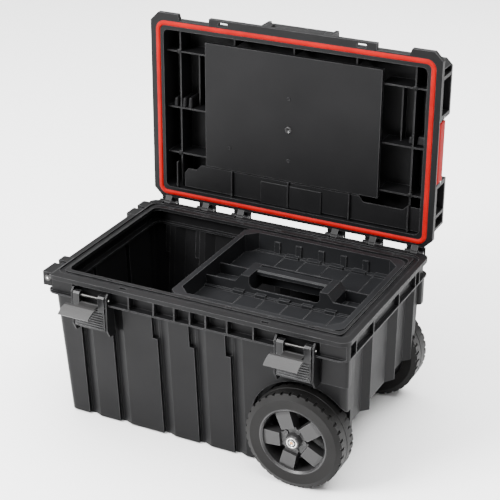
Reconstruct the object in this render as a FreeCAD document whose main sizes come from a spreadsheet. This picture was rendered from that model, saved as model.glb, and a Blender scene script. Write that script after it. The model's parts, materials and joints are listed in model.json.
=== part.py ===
"""Rolling tool chest: a moulded tub on two wheels, with a hinged lid, two toggle
latches, a lift-out tray, a folding tow handle, a lid handle and two side clips.

Frame: X runs along the front from the tow handle (-X) to the wheels (+X), Y runs
from the front to the hinges, Z is up. The origin is on the floor, under the middle
of the seal. The lid stands open at a right angle.
"""
import FreeCAD, Part
import Sketcher
import math
import os

SIZES = {
    # tub and rim
    "rim_half": 291.5, "rim_front": 193.5, "rim_back": 190, "rim_top": 294,
    "rim_height": 36, "rim_plate": 6, "rim_corner": 18, "flange": 3,
    "core_half": 284, "core_front": 179, "core_back": 176, "rib": 2.6,
    "mouth_half": 266, "mouth_front": 158, "mouth_back": 157,
    "wall": 3.5, "foot": 3, "tub_left": 276, "tub_right": 280,
    "tub_spread_left": 10, "tub_spread_right": 2,
    "tub_half_depth": 156, "tub_spread": 20, "tub_corner": 12,
    "flute_depth": 8, "flute_floor": 5, "flute_width": 24, "flute_notch": 9,
    "belly": 97.5, "belly_start": 104, "well_radius": 98, "well_face": 146,
    "post_low": 204, "post_reach": 180, "end_depth": 12,
    # seal
    "seal_half": 275, "seal_depth": 171.5, "seal_corner": 14, "seal_width": 9,
    "seal_proud": 2.5, "groove_extra": 0.6,
    # wheels and axle
    "wheel_spot": 201, "wheel_radius": 90, "wheel_inner": 148, "wheel_outer": 205,
    "tread_depth": 4, "bead_radius": 62.7, "barrel": 5, "axle_radius": 6,
    "bush_radius": 9.5, "hub_radius": 23, "running_gap": 0.05,
    # latches
    "latch_spot": 198.2, "bay_half": 33.3, "bay_low": 196, "bay_high": 282,
    "bay_back": 179, "cheek": 3, "cheek_front": 199, "latch_pin_y": 194,
    "latch_pin_z": 270, "latch_pin_radius": 2.5, "lever_half": 31, "arm_width": 12,
    "hook_pin_y": 196, "hook_pin_z": 255, "hook_pin_radius": 2, "hook_half": 30.5,
    # lid, in its open place
    "hinge_y": 193.5, "hinge_z": 290, "knuckle_radius": 6, "hinge_pin_radius": 2.5,
    "lid_half": 291, "lid_low": 12, "lid_high": 384, "lid_face": 4.3,
    "lid_thick": 60, "lid_skin": 4, "lid_corner": 16, "lid_flange": 10,
    "crown_half": 289, "crown_low": 29, "crown_high": 358,
    "cave_half": 264, "cave_low": 34, "cave_high": 353, "web": 2.6,
    "plate_half": 178, "plate_low": 90, "plate_high": 336,
    "clip_low": 137, "clip_high": 251, "clip_pin_y": 230, "clip_pin_x": 287.5,
    "bail_pin_y": 244, "bail_pin_z": 373, "bail_half": 64,
    # tray
    "tray_left": 62, "tray_right": 263, "tray_front": 155, "tray_back": 150,
    "tray_top": 293, "tray_flange": 4.7, "tray_floor": 255, "tray_wall": 2.5,
    "tray_inset": 8, "tray_chamfer": 20, "ridge_front": -37, "ridge_back": 20,
    "ridge_low": 278, "grip_start": 35, "grip_end": 172,
    # tow handle
    "tow_pivot_x": 290, "tow_pivot_z": 284, "tow_eye_y": 140,
    "tow_arm_y": 109, "tow_low": 64,
    "bracket_out": 302, "bracket_in": 281.5,
}
FLUTES = (-235, -169, -77, -4, 67)
BAND_RIBS = (0, 30.5, 71.1, 120.7)
END_RIBS = (-155, -80, 37, 117, 137)
END_FLUTES = ((-136, -71, -58), (-56, 42, 60), (62, 130, 142))
KNUCKLE_GROUPS = (99, 175.5, 258.5)
TRAY_STATIONS = (26, 70, 116, 161, 205)
SIDES = {"left": -1, "right": 1}

doc = FreeCAD.newDocument("rolling_tool_chest")
sheet = doc.addObject("Spreadsheet::Sheet", "dims")
nodes = []


class Dim:
    """A size from the sheet: its number, and the expression that gives it."""

    def __init__(self, number, text):
        self.number = number
        self.text = text

    def join(self, sign, other, swap=False):
        """This size and another number or size, joined by one sign of arithmetic."""
        other = other if isinstance(other, Dim) else Dim(other, f"({other})")
        first, second = (other, self) if swap else (self, other)
        results = {
            "+": first.number + second.number,
            "-": first.number - second.number,
            "*": first.number * second.number,
        }
        return Dim(results[sign], f"({first.text} {sign} {second.text})")

    def __add__(self, other):
        return self.join("+", other)

    def __radd__(self, other):
        return self.join("+", other, True)

    def __sub__(self, other):
        return self.join("-", other)

    def __rsub__(self, other):
        return self.join("-", other, True)

    def __mul__(self, other):
        return self.join("*", other)

    def __rmul__(self, other):
        return self.join("*", other, True)

    def __neg__(self):
        return self.join("*", -1)


class Sizes:
    """The sheet's sizes as attributes."""


def fill_sheet():
    """Write each driving size and its alias, and return them as attributes."""
    sizes = Sizes()
    for row, (alias, number) in enumerate(SIZES.items(), 1):
        sheet.set(f"A{row}", alias)
        sheet.set(f"B{row}", str(number))
        sheet.setAlias(f"B{row}", alias)
        setattr(sizes, alias, Dim(number, f"dims.{alias}"))
    doc.recompute()
    return sizes


d = fill_sheet()


def number(size):
    """The plain number of a size."""
    return float(size.number) if isinstance(size, Dim) else float(size)


def bind(thing, path, size):
    """Tie one property of an object to the sheet, or set it to a plain number."""
    text = size.text if isinstance(size, Dim) else str(size)
    thing.setExpression(path, text)


def place(thing, at, turn=None):
    """Put an object at a point, turned by a rotation."""
    if turn:
        thing.Placement = FreeCAD.Placement(FreeCAD.Vector(), turn)
    for letter, size in zip("xyz", at):
        bind(thing, f"Placement.Base.{letter}", size)
    return thing


def box(low, high):
    """A block between two corners."""
    block = doc.addObject("Part::Box", "block")
    for side, start, end in zip(("Length", "Width", "Height"), low, high):
        bind(block, side, end - start)
    return place(block, low)


TURNS = {
    "X": FreeCAD.Rotation(FreeCAD.Vector(0, 1, 0), 90),
    "Y": FreeCAD.Rotation(FreeCAD.Vector(1, 0, 0), -90),
    "Z": FreeCAD.Rotation(),
}


def rod(start, along, length, radius):
    """A cylinder from a point along one axis."""
    cylinder = doc.addObject("Part::Cylinder", "rod")
    bind(cylinder, "Radius", radius)
    bind(cylinder, "Height", length)
    return place(cylinder, start, TURNS[along])


def fuse(*things):
    """Several objects as one."""
    union = doc.addObject("Part::MultiFuse", "union")
    union.Shapes = list(things)
    union.Refine = True
    return union


def group(*things):
    """Separate solids of one kind, kept in one node."""
    compound = doc.addObject("Part::Compound", "set")
    compound.Links = list(things)
    return compound


def cut(base, *tools):
    """An object with others taken out of it."""
    result = doc.addObject("Part::Cut", "cut")
    result.Base = base
    result.Tool = tools[0] if len(tools) == 1 else fuse(*tools)
    result.Refine = True
    return result


def common(first, second):
    """What two objects share."""
    result = doc.addObject("Part::Common", "shared")
    result.Base = first
    result.Tool = second
    return result


def edges_along(thing, axis):
    """The numbers of an object's straight edges that run mostly along one axis."""
    doc.recompute()
    found = []
    for index, edge in enumerate(thing.Shape.Edges, 1):
        if len(edge.Vertexes) != 2:
            continue
        run = edge.Vertexes[1].Point - edge.Vertexes[0].Point
        if abs(run[axis]) > 0.95 * run.Length:
            found.append(index)
    return found


def ease(thing, radius, axis=2, kind="Part::Fillet"):
    """Round or chamfer an object's edges along one axis."""
    result = doc.addObject(kind, "eased")
    result.Base = thing
    size = number(radius)
    result.Edges = [(index, size, size) for index in edges_along(thing, axis)]
    return result


def slab(low, high, radius, axis=2):
    """A block with rounded corners along one axis."""
    return ease(box(low, high), radius, axis)


def mirror(thing, normal):
    """An object's mirror image in a plane through the origin."""
    image = doc.addObject("Part::Mirroring", "image")
    image.Source = thing
    image.Normal = FreeCAD.Vector(*normal)
    return image


def node(thing, label):
    """Name a finished sub-part."""
    thing.Label = label
    nodes.append(thing)
    return thing


PLANES = {"XY": "XY_Plane", "XZ": "XZ_Plane", "YZ": "YZ_Plane"}


def sketch(body, plane, points, name="outline"):
    """A closed outline of straight lines, each corner tied to the sheet."""
    drawing = body.newObject("Sketcher::SketchObject", name)
    support = [f for f in body.Origin.OriginFeatures if f.Role == PLANES[plane]][0]
    drawing.AttachmentSupport = (support, "")
    drawing.MapMode = "FlatFace"
    spots = [FreeCAD.Vector(number(across), number(up), 0) for across, up in points]
    for index, spot in enumerate(spots):
        drawing.addGeometry(Part.LineSegment(spot, spots[(index + 1) % len(spots)]))
    for index, (across, up) in enumerate(points):
        before = (index - 1) % len(points)
        drawing.addConstraint(Sketcher.Constraint("Coincident", before, 2, index, 1))
        for kind, axis, size in (("DistanceX", -2, across), ("DistanceY", -1, up)):
            if abs(number(size)) < 1e-9:
                line = Sketcher.Constraint("PointOnObject", index, 1, axis)
                drawing.addConstraint(line)
                continue
            value = number(size)
            spot = drawing.addConstraint(
                Sketcher.Constraint(kind, -1, 1, index, 1, value)
            )
            if isinstance(size, Dim):
                drawing.setExpression(f"Constraints[{spot}]", size.text)
    return drawing


def prism(plane, points, start, length):
    """An outline padded square to its plane, from one height over a length.

    XY outlines are (x, y) and rise along Z, YZ outlines are (y, z) and run along X,
    XZ outlines are (x, z) and run along Y.
    """
    body = doc.addObject("PartDesign::Body", "prism")
    drawing = sketch(body, plane, points)
    pad = body.newObject("PartDesign::Pad", "pad")
    pad.Profile = drawing
    bind(pad, "Length", length)
    pad.Reversed = plane == "XZ"
    axis = {"XY": 2, "YZ": 0, "XZ": 1}[plane]
    at = [0, 0, 0]
    at[axis] = start
    return place(body, at)


def spun(points, start):
    """An outline of (radius, depth) spun about the wheel axle's direction."""
    body = doc.addObject("PartDesign::Body", "spun")
    drawing = sketch(body, "XY", points)
    turn = body.newObject("PartDesign::Revolution", "revolution")
    turn.Profile = drawing
    turn.ReferenceAxis = (drawing, ["V_Axis"])
    turn.Angle = 360
    return place(body, start)


def fluted_cutter(corners, low, high, lean):
    """An upright prism whose outline shifts by lean as it climbs with the wall."""
    feature = doc.addObject("Part::Feature", "flute")
    spots = [FreeCAD.Vector(number(x), number(y), number(low)) for x, y in corners]
    face = Part.Face(Part.makePolygon(spots + spots[:1]))
    climb = number(high) - number(low)
    feature.Shape = face.extrude(FreeCAD.Vector(lean[0], lean[1], 1) * climb)
    return feature


# ---------------------------------------------------------------- tub
def frustum(inset, low, high):
    """The tub's tapered block, inset on every side, between two heights."""
    span = d.rim_top - d.rim_height - d.foot
    wedge = doc.addObject("Part::Wedge", "taper")
    left = d.tub_left - inset
    right = d.tub_right - inset
    half = d.tub_half_depth - inset
    bind(wedge, "Ymin", d.foot)
    bind(wedge, "Ymax", d.foot + span)
    bind(wedge, "Xmin", -left)
    bind(wedge, "Xmax", right)
    bind(wedge, "X2min", -(left + d.tub_spread_left))
    bind(wedge, "X2max", right + d.tub_spread_right)
    for side in ("Zmin", "Z2min"):
        bind(wedge, side, -(half + (d.tub_spread if side == "Z2min" else 0)))
    for side in ("Zmax", "Z2max"):
        bind(wedge, side, half + (d.tub_spread if side == "Z2max" else 0))
    wedge.Placement.Rotation = FreeCAD.Rotation(FreeCAD.Vector(1, 0, 0), 90)
    eased = ease(wedge, d.tub_corner - (inset if number(inset) else 0))
    return common(eased, box((-310, -210, low), (310, 210, high)))


def wheel_wells(grow):
    """The two wheel wells, each grown outward by a thickness."""
    wells = []
    for side in (-1, 1):
        face = side * (d.well_face - grow)
        start = face if side > 0 else face - 60
        wells.append(rod((d.wheel_spot, start, d.wheel_radius), "Y", 60, d.well_radius + grow))
    return wells


def wall_flutes(grow):
    """The upright grooves of the front and rear walls, grown by a thickness."""
    slope = number(d.tub_spread) / number(d.rim_top - d.rim_height - d.foot)
    half = number(d.tub_half_depth)
    deep = number(d.flute_depth) + grow
    out = half + 4
    flutes = []
    for side in (-1, 1):
        for edge in FLUTES:
            start = edge - grow
            floor_end = edge + number(d.flute_floor) + grow
            end = edge + number(d.flute_width) + grow
            inner = half - deep
            corners = [(start, side * out), (start, side * inner)]
            corners += [(floor_end, side * inner), (end, side * (half - grow))]
            corners += [(end, side * out)]
            flutes.append(
                fluted_cutter(corners, d.foot, d.rim_top - d.rim_height, (0, side * slope))
            )
            notch_start = start - number(d.flute_notch)
            notch = [(notch_start, side * (out + 16)), (start + 1, side * (out + 16))]
            notch += [(start + 1, side * (inner + 16)), (notch_start, side * (inner + 16))]
            flutes.append(
                fluted_cutter(notch, d.post_low - grow, d.rim_top - d.rim_height, (0, side * slope))
            )
    return flutes


def end_flutes(grow):
    """The upright grooves of the two end walls, grown by a thickness."""
    top = d.rim_top - d.rim_height
    span = number(top - d.foot)
    flutes = []
    ends = {-1: (d.tub_left, d.tub_spread_left), 1: (d.tub_right, d.tub_spread_right)}
    for side, (reach, spread) in ends.items():
        face = side * (number(reach) - grow)
        inner = face - side * number(d.end_depth)
        outer = side * (number(reach) + 4)
        for start, bend, end in END_FLUTES:
            corners = [(outer, start - grow), (inner, start - grow), (inner, bend + grow)]
            corners += [(face, end + grow), (outer, end + grow)]
            flutes.append(fluted_cutter(corners, d.foot, top, (side * number(spread) / span, 0)))
    return flutes


def corner_posts():
    """The thicker blocks under the rim's two right corners."""
    posts = []
    top = d.rim_top - d.rim_height
    for x0, x1, y0, y1 in (
        (d.latch_spot + 38, d.core_half + 4, -d.post_reach, -160),
        (d.latch_spot + 38, d.core_half + 4, 160, d.post_reach),
    ):
        posts.append(slab((x0, y0, d.post_low), (x1, y1, top), 6))
    return posts


def tub_shell():
    """The tub: fluted walls, deep left floor, raised belly over the axle, wells."""
    top = d.rim_top - d.rim_height
    outer = fuse(frustum(0, d.foot, top), *corner_posts())
    belly = box((d.belly_start, -210, 0), (310, 210, d.belly))
    outer = cut(outer, belly, *wheel_wells(0), *wall_flutes(0), *end_flutes(0))
    w = d.wall
    room = frustum(w, d.foot + w, top + 1)
    step = box((d.belly_start - w, -210, 0), (310, 210, d.belly + w))
    ridges = wall_flutes(number(w)) + end_flutes(number(w))
    room = cut(room, step, *wheel_wells(w), *ridges)
    return node(cut(outer, room), "tub_shell")


def foot_pads():
    """The small pads that the tub stands on, under its front and rear edges."""
    half = d.tub_half_depth
    pads = []
    for edge in (-262,) + FLUTES:
        for side in (-1, 1):
            y0, y1 = (-half + 9, -half + 24) if side < 0 else (half - 24, half - 9)
            pads.append(slab((edge - 9, y0, 0), (edge + 9, y1, d.foot), 3))
    return node(group(*pads), "foot_pads")


def centre_skid():
    """The runner under the middle of the floor."""
    return node(slab((-250, -14, 0), (92, 14, d.foot), 6), "centre_skid")


# ---------------------------------------------------------------- rim
def band_pocket():
    """The space between the rim's top plate and its lower flange, less its ribs."""
    low = d.rim_top - d.rim_height + d.flange
    high = d.rim_top - d.rim_plate - 2
    space = box((-300, -210, low), (300, 210, high))
    core = box((-d.core_half, -d.core_front, low), (d.core_half, d.core_back, high))
    ribs = [core]
    for spot in BAND_RIBS:
        for x in {spot, -spot}:
            ribs.append(box((x - d.rib * 0.5, -210, low), (x + d.rib * 0.5, 210, high)))
    for y in END_RIBS:
        ribs.append(box((-300, y - d.rib * 0.5, low), (300, y + d.rib * 0.5, high)))
    for side in (-1, 1):
        x0, x1 = sorted((side * 240.0, side * 300.0))
        ribs.append(box((x0, -187, low), (x1, -d.core_front, high)))
        for x in (150, 193, 236):
            ribs.append(box((side * x - d.rib * 0.5, 150, low), (side * x + d.rib * 0.5, 210, high)))
    return cut(space, *ribs)


def seal_ring(width, low, high):
    """An upright ring on the seal's centre line, for the rim's groove."""
    half, deep, corner = d.seal_half, d.seal_depth, d.seal_corner
    w = width * 0.5
    outer = slab((-half - w, -deep - w, low), (half + w, deep + w, high), corner + w)
    inner = slab((-half + w, -deep + w, low), (half - w, deep - w, high), corner - w)
    return cut(outer, inner)


def rim_slots():
    """Padlock slots at the front and small drain slots round the mouth."""
    low = d.rim_top - d.rim_plate - 3
    slots = []
    for side in (-1, 1):
        x0, x1 = sorted((side * 130.0, side * 144.0))
        slots.append(box((x0, -185.5, low), (x1, -179.5, 300)))
    for x in (-236, -156, -83, -4, 78, 157, 236):
        slots.append(box((x - 7, 160.6, low), (x + 7, 164.4, 300)))
    for x in (-176, -96, -20, 60, 140, 214):
        slots.append(box((x - 6, -164.4, low), (x + 6, -161, 300)))
    return slots


def knuckle(spot, half, radius):
    """One hinge knuckle about the lid's axis."""
    return rod((spot - half, d.hinge_y, d.hinge_z), "X", half * 2, radius)


def tub_rim():
    """The stiff ribbed band round the tub's mouth, with the fixed hinge knuckles."""
    low = d.rim_top - d.rim_height
    under = d.rim_top - d.rim_plate
    blank = slab(
        (-d.rim_half, -d.rim_front, low), (d.rim_half, d.rim_back, d.rim_top), d.rim_corner
    )
    tools = [band_pocket()]
    tools.append(
        slab((-d.mouth_half, -d.mouth_front, low), (d.mouth_half, d.mouth_back, 300), 14)
    )
    for half_x, half_y, start, end in ((280, 172, low + 4, under), (267.5, 163.5, low - 1, low + 5)):
        tools.append(slab((-half_x, -half_y, start), (half_x, half_y, end), 10))
    groove = d.seal_width + d.groove_extra * 2
    tools.append(seal_ring(groove, d.rim_top - 3.5, 300))
    tools += rim_slots()
    for side in SIDES.values():
        bay = side * d.latch_spot
        reach = d.bay_half + d.cheek
        tools.append(box((bay - reach, -210, low - 1), (bay + reach, -d.bay_back, d.bay_high)))
        for spot in KNUCKLE_GROUPS:
            x = side * spot
            tools.append(box((x - 7.5, 178.5, 281), (x + 7.5, 210, 300)))
    for y0, y1 in ((-190, -114), (104, 176)):
        tools.append(box((-310, y0, low + 4), (-d.bracket_in, y1, 300)))
    band = cut(blank, *tools)
    fixed, bores = [], []
    for side in SIDES.values():
        for spot in KNUCKLE_GROUPS:
            for offset in (-13, 13):
                x = side * spot + offset
                fixed.append(knuckle(x, 5, d.knuckle_radius))
                fixed.append(box((x - 5, 188, 284), (x + 5, d.hinge_y, d.hinge_z)))
            bores.append(knuckle(side * spot, 20, d.hinge_pin_radius))
    return node(cut(fuse(band, *fixed), *bores), "tub_rim")


def hinge_pins():
    """The six steel pins, one through each group of knuckles."""
    pins = []
    for side in SIDES.values():
        for spot in KNUCKLE_GROUPS:
            pins.append(knuckle(side * spot, 18.5, d.hinge_pin_radius))
    return node(group(*pins), "hinge_pins")


def tray_rails():
    """The two rails inside the mouth that the tray's flange rests on."""
    low = d.rim_top - d.rim_plate - 4
    high = d.rim_top - d.rim_plate
    front = box((-60, -172, low), (262, -149.5, high))
    rear = box((-60, 144.5, low), (262, 172, high))
    return node(group(front, rear), "tray_rails")


# ---------------------------------------------------------------- latches
def latch_bay(name, side):
    """The plate and two cheeks that hold one latch under the rim."""
    middle = side * d.latch_spot
    reach = d.bay_half + d.cheek
    back = -d.bay_back
    front = -d.cheek_front
    outline = [(-160, d.bay_low), (front + 9, d.bay_low), (front, d.bay_low + 16)]
    outline += [(front, d.bay_high - 7), (front + 6, d.bay_high), (-160, d.bay_high)]
    blank = prism("YZ", outline, middle - reach, reach * 2)
    room = box((middle - d.bay_half, -210, 150), (middle + d.bay_half, back, 300))
    behind = box((middle - reach, back, d.rim_top - d.rim_height), (middle + reach, -150, 300))
    wall = frustum(0, d.foot, d.rim_top - d.rim_height)
    pin = rod(
        (middle - 40, -d.latch_pin_y, d.latch_pin_z), "X", 80, d.latch_pin_radius
    )
    return node(cut(blank, room, behind, wall, pin), f"latch_bay_{name}")


def latch_pin(name, side):
    """The steel pin that a latch lever turns on."""
    middle = side * d.latch_spot
    start = (middle - 38, -d.latch_pin_y, d.latch_pin_z)
    return node(rod(start, "X", 76, d.latch_pin_radius), f"latch_pin_{name}")


def latch_lever(name, side):
    """The ribbed lever that pulls the hook down."""
    middle = side * d.latch_spot
    half = d.lever_half
    plate = box((middle - half, -199, 210), (middle + half, -193.5, 247))
    pieces = [plate]
    for step in range(7):
        z = 212.5 + step * 4.8
        outline = [(-199, z), (-200.6, z + 0.8), (-200.6, z + 1.8), (-199, z + 2.8)]
        pieces.append(prism("YZ", outline, middle - half + 3, half * 2 - 6))
    for start in (middle - half, middle + half - d.arm_width):
        outline = [(-199, 244), (-200.5, 250), (-200.5, 274), (-198, 277)]
        outline += [(-190, 277), (-188, 275), (-188, 264), (-191, 256), (-191, 244)]
        pieces.append(prism("YZ", outline, start, d.arm_width))
    bore = rod(
        (middle - 40, -d.latch_pin_y, d.latch_pin_z), "X", 80,
        d.latch_pin_radius + d.running_gap,
    )
    pin = rod((middle - 40, -d.hook_pin_y, d.hook_pin_z), "X", 80, d.hook_pin_radius)
    return node(cut(fuse(*pieces), bore, pin), f"latch_lever_{name}")


def hook_pin(name, side):
    """The cross pin in the lever that the hook turns on."""
    start = (side * d.latch_spot - d.lever_half, -d.hook_pin_y, d.hook_pin_z)
    return node(rod(start, "X", d.lever_half * 2, d.hook_pin_radius), f"hook_pin_{name}")


def latch_hook(name, side):
    """The curved hook that grips the lid, swung out and down."""
    middle = side * d.latch_spot
    leg = [(-196, 252), (-196, 258), (-203, 257.2), (-214, 256.9), (-224, 264.5)]
    leg += [(-230, 264.2), (-229, 261), (-224, 261), (-215, 253.6), (-203, 253.8)]
    narrow = prism("YZ", leg, middle - 18, 36)
    shell = [(-224, 262.2), (-224, 264.9), (-230, 265.2), (-238, 263.6), (-246, 260)]
    shell += [(-252, 255.6), (-250.6, 254), (-244, 257.8)]
    shell += [(-237, 260.8), (-230, 262.4)]
    wide = prism("YZ", shell, middle - d.hook_half, d.hook_half * 2)
    eye = rod((middle - 18, -d.hook_pin_y, d.hook_pin_z), "X", 36, 3.6)
    webs = []
    for start in (middle - 18, middle + 15.5):
        outline = [(-197, 251.5), (-197, 256.5), (-214, 256.6), (-225, 263.5)]
        outline += [(-238, 260.5), (-226, 252.5)]
        webs.append(prism("YZ", outline, start, 2.5))
    bore = rod(
        (middle - 40, -d.hook_pin_y, d.hook_pin_z), "X", 80,
        d.hook_pin_radius + d.running_gap,
    )
    return node(cut(fuse(narrow, wide, eye, *webs), bore), f"latch_hook_{name}")


# ---------------------------------------------------------------- wheels
def axle():
    """The steel axle under the belly."""
    start = (d.wheel_spot, -207, d.wheel_radius)
    return node(rod(start, "Y", 414, d.axle_radius), "axle")


def axle_brackets():
    """The two blocks that hold the axle under the belly."""
    blocks = []
    for y in (-128, 100):
        block = ease(
            box((d.wheel_spot - 20, y, 78), (d.wheel_spot + 20, y + 28, d.belly)), 5, 1
        )
        blocks.append(block)
    bore = rod((d.wheel_spot, -150, d.wheel_radius), "Y", 300, d.axle_radius)
    return node(cut(fuse(*blocks), bore), "axle_brackets")


def ring(side, inner, outer, near, far):
    """A collar about the axle, between two distances from the middle."""
    start, end = (near, far) if side > 0 else (-far, -near)
    sleeve = rod((d.wheel_spot, start, d.wheel_radius), "Y", far - near, outer)
    hole = rod((d.wheel_spot, start - 1, d.wheel_radius), "Y", far - near + 2, inner)
    return cut(sleeve, hole)


def tyre_blank():
    """The tyre's section spun about the axle, before its tread is cut."""
    out = d.wheel_radius
    base = d.wheel_radius - d.tread_depth
    near, far = d.wheel_inner, d.wheel_outer
    middle = (near + far) * 0.5
    outline = [(d.bead_radius, near + 1), (base - 6, near), (base, near + 3), (out, near + 5)]
    outline += [(out - 0.7, middle - 1.6), (out, middle - 0.8), (out, middle + 0.8)]
    outline += [(out - 0.7, middle + 1.6), (out, far - 5), (base, far - 3), (base - 6, far)]
    outline += [(d.bead_radius, far - 1)]
    return spun(outline, (0, 0, 0))


def tyre():
    """The hard tyre of the rear wheel, its two rows of tread blocks staggered."""
    body = tyre_blank()
    near, far = number(d.wheel_inner), number(d.wheel_outer)
    rows = ((near - 1, near + 17, 0), (far - 14, far + 1, 5))
    slots = doc.addObject("Part::Feature", "tread_slots")
    cutters = []
    reach = number(d.wheel_radius)
    for low, high, start in rows:
        for step in range(36):
            cutter = Part.makeBox(5, high - low, 5, FreeCAD.Vector(reach - 2.4, low, -2.5))
            cutter.rotate(FreeCAD.Vector(), FreeCAD.Vector(0, 1, 0), start + step * 10)
            cutters.append(cutter)
    slots.Shape = Part.makeCompound(cutters)
    return place(cut(body, slots), (d.wheel_spot, 0, d.wheel_radius))


def spoke():
    """One wide spoke of the rear wheel, before it is turned into place."""
    out = d.wheel_outer
    outline = [(14, out - 24), (59, out - 24), (59, out - 7), (51, out - 4.5)]
    outline += [(25, out - 3), (23.2, out - 9), (14, out - 9.5)]
    blank = prism("XY", outline, -15, 30)
    sides = []
    for side in (-1, 1):
        edge = [(10, side * 12), (62, side * 14), (62, side * 20), (10, side * 20)]
        sides.append(prism("XZ", edge, out - 30, 40))
    return cut(blank, *sides)


def turned(thing, degrees):
    """An object turned about the wheel's own axis."""
    copy = doc.addObject("Part::Compound", "turned")
    copy.Links = [thing]
    copy.Placement.Rotation = FreeCAD.Rotation(FreeCAD.Vector(0, 1, 0), degrees)
    return copy


def wheel_rim():
    """The rear wheel's barrel, five spokes and faceted hub boss."""
    near, far = d.wheel_inner, d.wheel_outer
    out = d.bead_radius
    inner = out - d.barrel
    section = [(inner, near + 6), (out, near + 1.5), (out, far - 1.5), (out - 2, far - 0.5)]
    section += [(inner, far - 4)]
    barrel = spun(section, (0, 0, 0))
    web = spun([(20, near + 8), (inner + 1, near + 8), (inner + 1, near + 11), (20, near + 11)], (0, 0, 0))
    hub = rod((0, near + 1, 0), "Y", far - near - 10, d.hub_radius)
    cone = [(0, far - 10), (15.5, far - 10), (13.5, far - 1), (12, far + 2), (0, far + 2)]
    boss = spun(cone, (0, 0, 0))
    arm = spoke()
    arms = [turned(arm, 103 + 72 * step) for step in range(5)]
    bore = rod((0, near - 1, 0), "Y", 80, d.bush_radius)
    whole = cut(fuse(barrel, web, hub, boss, *arms), bore)
    return place(whole, (d.wheel_spot, 0, d.wheel_radius))


def wheel_bolts():
    """The five round bolt heads on the rear wheel's boss."""
    heads = []
    for step in range(5):
        angle = math.radians(141 + 72 * step)
        x = d.wheel_spot + 19.3 * math.cos(angle)
        z = d.wheel_radius + 19.3 * math.sin(angle)
        heads.append(rod((x, d.wheel_outer - 9, z), "Y", 1.6, 3.4))
    return group(*heads)


def wheel_set():
    """Both wheels, with bushes, spacers and end caps, the front one mirrored."""
    rear = {
        "tyre": tyre(),
        "wheel_rim": wheel_rim(),
        "wheel_bolts": wheel_bolts(),
        "wheel_bush": ring(
            1, d.axle_radius + d.running_gap, d.bush_radius, d.wheel_inner + 1, d.wheel_outer
        ),
        "axle_spacer": ring(1, d.axle_radius, 7.4, 128, d.wheel_inner - 0.3),
        "axle_cap": ring(1, d.axle_radius, 8.5, d.wheel_outer + 0.3, d.wheel_outer + 2),
    }
    for name, thing in rear.items():
        node(mirror(thing, (0, 1, 0)), f"{name}_front")
        node(thing, f"{name}_rear")


# ---------------------------------------------------------------- lid
def lid_y(depth):
    """A distance behind the lid's axis as a place along Y."""
    return d.hinge_y + depth


def lid_z(height):
    """A distance from the lid's axis as a height, with the lid open."""
    return d.hinge_z + height


def lid_box(x0, x1, y0, y1, z0, z1):
    """A block in the open lid's own depths and heights."""
    return box((x0, lid_y(y0), lid_z(z0)), (x1, lid_y(y1), lid_z(z1)))


def lid_seal_ring(width, near, far):
    """A ring on the seal's centre line, between two depths of the open lid."""
    half, corner = d.seal_half, d.seal_corner
    low = lid_z(d.hinge_y - d.seal_depth)
    high = lid_z(d.hinge_y + d.seal_depth)
    w = width * 0.5
    outer = slab((-half - w, lid_y(near), low - w), (half + w, lid_y(far), high + w), corner + w, 1)
    inner = slab((-half + w, lid_y(near), low + w), (half - w, lid_y(far), high - w), corner - w, 1)
    return cut(outer, inner)


def lid_cells():
    """The open cells in the lid's ends, between its flange and its skin."""
    near = d.lid_face + d.lid_flange
    far = d.lid_face + d.lid_thick - 6
    cells = []
    for side in (-1, 1):
        x0, x1 = sorted((side * 270.0, side * 300.0))
        for low, high in ((46, 66), (72, 125), (263, 330), (336, 348)):
            cells.append(lid_box(x0, x1, near, far, low, high))
    return cells


def lid_front_edge():
    """What is taken off the lid's flange: the hook gaps and the padlock slots."""
    tools = []
    for side in (-1, 1):
        gap = [(side * 167, lid_z(372)), (side * 229, lid_z(372)), (side * 235, lid_z(390))]
        gap.append((side * 167, lid_z(390)))
        tools.append(prism("XZ", gap, lid_y(0), 40))
        x0, x1 = sorted((side * 128.0, side * 148.0))
        tools.append(ease(lid_box(x0, x1, 0, 30, 372.5, 380), 2, 1))
    return tools


def lid_ribs():
    """The ribs across the lid's cavity and the short dividers by the plate."""
    near, far = d.lid_face + 14, d.lid_face + d.lid_thick - 2
    cave, web = d.cave_half + 2, d.web
    ribs = []
    for side in (-1, 1):
        x0, x1 = (d.plate_half - 2, cave) if side > 0 else (-cave, -d.plate_half + 2)
        for height in (102, 195, 307):
            ribs.append(lid_box(x0, x1, near, far, height, height + web))
        x = side * 237.0
        ribs.append(lid_box(x, x + web, near, far, d.cave_low - 2, d.cave_high + 2))
        ribs.append(lid_box(side * 207.0 - 1.2, side * 207.0 + 1.2, near + 22, far, 195, 307))
    for x in (-122, 0, 124):
        ribs.append(lid_box(x, x + web, near, far, d.plate_high - 2, d.cave_high + 2))
        ribs.append(lid_box(x, x + web, near, far, d.cave_low - 2, d.plate_low + 2))
    return ribs


def lid_blank():
    """The lid's solid outline: a wide flange with the narrower crown behind it."""
    face, back = d.lid_face, d.lid_face + d.lid_thick
    near = face + d.lid_flange
    plate = lid_box(-d.lid_half, d.lid_half, face, near, d.lid_low, d.lid_high)
    crown = lid_box(-d.crown_half, d.crown_half, near - 1, back, d.crown_low, d.crown_high)
    pieces = [ease(plate, d.lid_corner, 1, "Part::Chamfer"), ease(crown, 12, 1, "Part::Chamfer")]
    for side in (-1, 1):
        start = d.bail_half + 0.5 if side > 0 else -d.bail_half - 7
        pieces.append(lid_box(start, start + 6.5, near - 1, back - 3, d.crown_high - 1, d.bail_pin_z + 6))
    return fuse(*pieces)


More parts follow.
